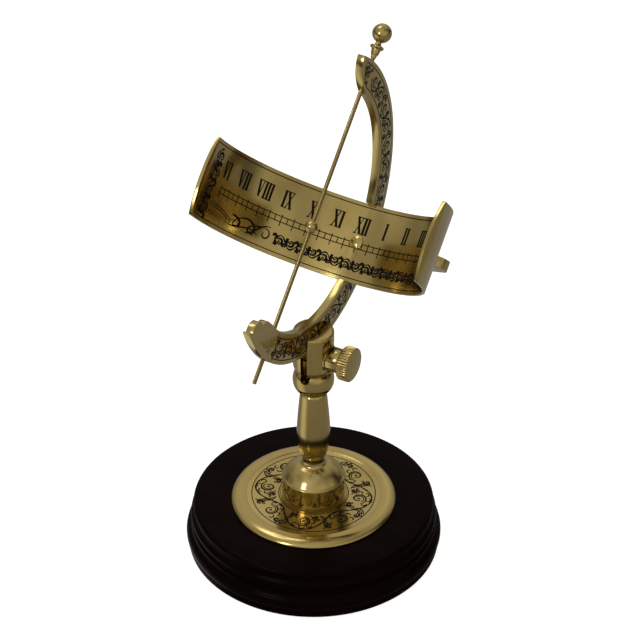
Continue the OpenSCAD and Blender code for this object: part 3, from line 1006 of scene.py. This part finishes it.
class SUNDIAL_OT_band(bpy.types.Operator):
    """Finishes the hour band and engraves its hours, minute track and scrolls"""

    bl_idname = "sundial.band"
    bl_label = "Hour band"

    def execute(self, context):
        sizes = context.scene.sundial_sizes
        finish_node("hour_band", "dial", "brass", bevel=0.3)
        finish_node("noon_screw", "dial", "screw")
        strokes = self.border(sizes) + self.hours(sizes) + self.track(sizes) + self.foliage()
        obj = engrave("band_engraving", strokes, lift=0.05)
        reach = [vertex.co.x for vertex in obj.data.vertices]
        bend_to_band(obj, (max(reach) - min(reach)) / MM)
        ride_inlay(obj, "dial")
        return {"FINISHED"}

    def border(self, sizes):
        """A line inside the band's straight edges and its bulged ends."""
        top = BAND_HALF - sizes.border_inset
        end_radius = (BAND_HALF ** 2 + BAND_BULGE ** 2) / (2 * BAND_BULGE)
        centre = BAND_RADIUS * BAND_END + BAND_BULGE - end_radius
        radius = end_radius - sizes.border_inset
        swing = math.asin(top / radius)
        meet = centre + radius * math.cos(swing)
        edges = [even(line((-meet, y), (meet, y)), sizes.border_line) for y in (-top, top)]
        right = [even(arc((centre, 0), radius, -swing, swing, 28), sizes.border_line)]
        return edges + right + mirror_x(right)

    def hours(self, sizes):
        """The hours from VI to VI, with XII in the band's middle."""
        names = ("VI", "VII", "VIII", "IX", "X", "XI", "XII",
                 "I", "II", "III", "IIII", "V", "VI")
        noon, height = names.index("XII"), 9.9
        pitch = BAND_RADIUS * sizes.hour_pitch
        strokes = []
        for i, text in enumerate(names):
            glyph = numeral(text, sizes.numeral_height, sizes.numeral_line, sizes.hairline)
            strokes += shift(glyph, (i - noon) * pitch, height)
        return strokes

    def track(self, sizes):
        """Two lines with a tick at each quarter hour, longer at the hours and half hours."""
        pitch = BAND_RADIUS * sizes.hour_pitch
        middle, half = -2.0, sizes.track_height / 2
        each_side, per_hour = 6, 4
        end, ticks = each_side * pitch, each_side * per_hour
        strokes = [even(line((-end, y), (end, y)), sizes.hairline)
                   for y in (middle - half, middle + half)]
        for i in range(-ticks, ticks + 1):
            x = i * pitch / per_hour
            below, above = (2.6, 1.3) if i % 2 == 0 else (0.0, 0.0)
            strokes.append(even(line((x, middle - half - below), (x, middle + half + above)),
                                sizes.hairline))
        return strokes

    def foliage(self):
        """Upright scrolls at both ends, a flourish low at the left and a strip beside it."""
        line_half = 0.28
        upright = inside(scroll_strip(39.0, 5.2, 4, line_half, 4), 4.8)
        upright = shift(turn(upright, QUARTER), 103.2, -19.5)
        running = inside(scroll_strip(122.0, 3.4, 18, line_half, 0), 3.4)
        return (upright + mirror_x(upright) + shift(self.flourish(), -77.0, -13.4)
                + shift(running, -46.0, -13.8))

    def flourish(self):
        """Penned loops with two leading strokes and four tails."""
        strokes = pen_loops(21, 3.8, 2, 0.78)
        tails = ((curve((-3, -2.8), (5, -6.2), (13, 2.4), (20, -2.6), 20), 0.5),
                 (curve((12, -3.8), (17, -5.4), (20, 5.6), (27, 4.4), 18), 0.55),
                 (arc((24.5, -0.4), 3.6, 2.0, -3.9, 22, 1.0), 0.5),
                 (arc((17.4, -3.0), 1.6, 0.4, 5.6, 14, 0.5), 0.45))
        strokes += [taper(points, wide, 0.2) for points, wide in tails]
        for drop in (0.0, 1.5):
            lead = curve((-20, 3.4 - drop), (-13, 3.0 - drop), (-6, 2.6 - drop),
                         (1, -1.2 - drop), 16)
            strokes.append(taper(lead, 0.34, 0.18))
        return strokes


class SUNDIAL_OT_gnomon(bpy.types.Operator):
    """Finishes the gnomon rod with its bead, pin and finial"""

    bl_idname = "sundial.gnomon"
    bl_label = "Gnomon"

    def execute(self, context):
        finish_node("gnomon_rod", "dial", "brass")
        finish_node("rod_pin", "dial", "screw")
        turned_node("finial_ferrule", "dial", "brass", place=DIAL, steps=64)
        self.finial()
        turned_node("nodus_bead", "bead", "brass", place=DIAL, steps=64)
        return {"FINISHED"}

    def finial(self):
        """A ball on a thin neck over a cup with a thick rolled lip."""
        foot, lip, ball, ball_radius = 93.4, 97.3, 105.8, 5.6
        bore, collar, cup, neck = 1.25, 1.75, 2.5, 1.65
        profile = [(bore, foot), (collar, foot), (collar, foot + 0.3), (cup - 0.1, foot + 0.3),
                   (cup, foot + 0.9)]
        profile += rounded((cup, foot + 1.0), (cup, lip - 1.4), (3.2, lip - 0.9), 6)
        profile += [(3.15 + 0.85 * math.cos(a), lip + 0.9 * math.sin(a))
                    for a in (math.radians(d) for d in range(-70, 91, 20))]
        profile += rounded((2.6, lip + 0.9), (1.7, lip + 1.1), (neck, ball - 5.0), 6)
        start = math.asin(neck / ball_radius)
        profile += [(ball_radius * math.sin(a), ball - ball_radius * math.cos(a))
                    for a in (start + (math.pi - start) * i / 24 for i in range(25))]
        finial = lathe("finial_finish", profile, 72)
        settle(finial, DIAL)
        stand_for(finial, "finial", "dial", "brass", angle=34)


OPERATORS = (SUNDIAL_OT_stage, SUNDIAL_OT_base, SUNDIAL_OT_plate, SUNDIAL_OT_column,
             SUNDIAL_OT_bow, SUNDIAL_OT_band, SUNDIAL_OT_gnomon)


class SUNDIAL_PT_panel(bpy.types.Panel):
    """Lists the sundial's pieces, sizes and colours"""

    bl_label = "Equatorial Sundial"
    bl_idname = "SUNDIAL_PT_panel"
    bl_space_type = "VIEW_3D"
    bl_region_type = "UI"
    bl_category = "Sundial"

    def draw(self, context):
        column = self.layout.column()
        for settings in (context.scene.sundial_sizes, context.scene.sundial_finish):
            for name in settings.bl_rna.properties.keys():
                if name not in ("rna_type", "name"):
                    column.prop(settings, name)
        for operator in OPERATORS:
            column.operator(operator.bl_idname)


CLASSES = (SundialSizes, SundialFinish, *OPERATORS, SUNDIAL_PT_panel)


def register():
    for cls in CLASSES:
        bpy.utils.register_class(cls)
    bpy.types.Scene.sundial_sizes = bpy.props.PointerProperty(type=SundialSizes)
    bpy.types.Scene.sundial_finish = bpy.props.PointerProperty(type=SundialFinish)


def unregister():
    del bpy.types.Scene.sundial_finish
    del bpy.types.Scene.sundial_sizes
    for cls in reversed(CLASSES):
        bpy.utils.unregister_class(cls)


def main():
    register()
    bpy.ops.sundial.stage()
    bpy.ops.sundial.base()
    bpy.ops.sundial.plate()
    bpy.ops.sundial.column()
    bpy.ops.sundial.bow()
    bpy.ops.sundial.band()
    bpy.ops.sundial.gnomon()


if __name__ == "__main__":
    main()
